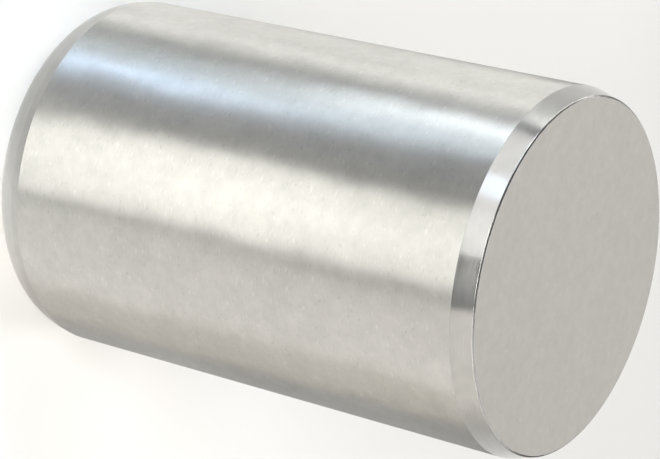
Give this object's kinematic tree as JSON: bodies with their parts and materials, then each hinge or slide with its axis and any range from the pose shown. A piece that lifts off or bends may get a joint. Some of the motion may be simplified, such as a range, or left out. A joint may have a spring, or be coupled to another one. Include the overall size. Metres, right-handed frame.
{
  "type": "dowel pin",
  "caption": "Solid ground steel dowel pin: a plain cylinder with a small lead chamfer at one end and a rounded crown at the other, standing on the flat of its crown.",
  "frame": {"origin": "middle of the flat on the crowned end, which is the lowest face of the standing pin", "axes": "+Z along the pin's axis, from the crowned end to the chamfered lead end; X and Y are free, because the pin is round"},
  "size_m": [0.0158, 0.0158, 0.0254],
  "materials": {
    "ground_steel": "hardened steel, ground round the body with fine circumferential marks, smoother chamfer and crown, matt flat ends"
  },
  "bodies": {
    "root": {"pin": "ground_steel"}
  },
  "joints": []
}
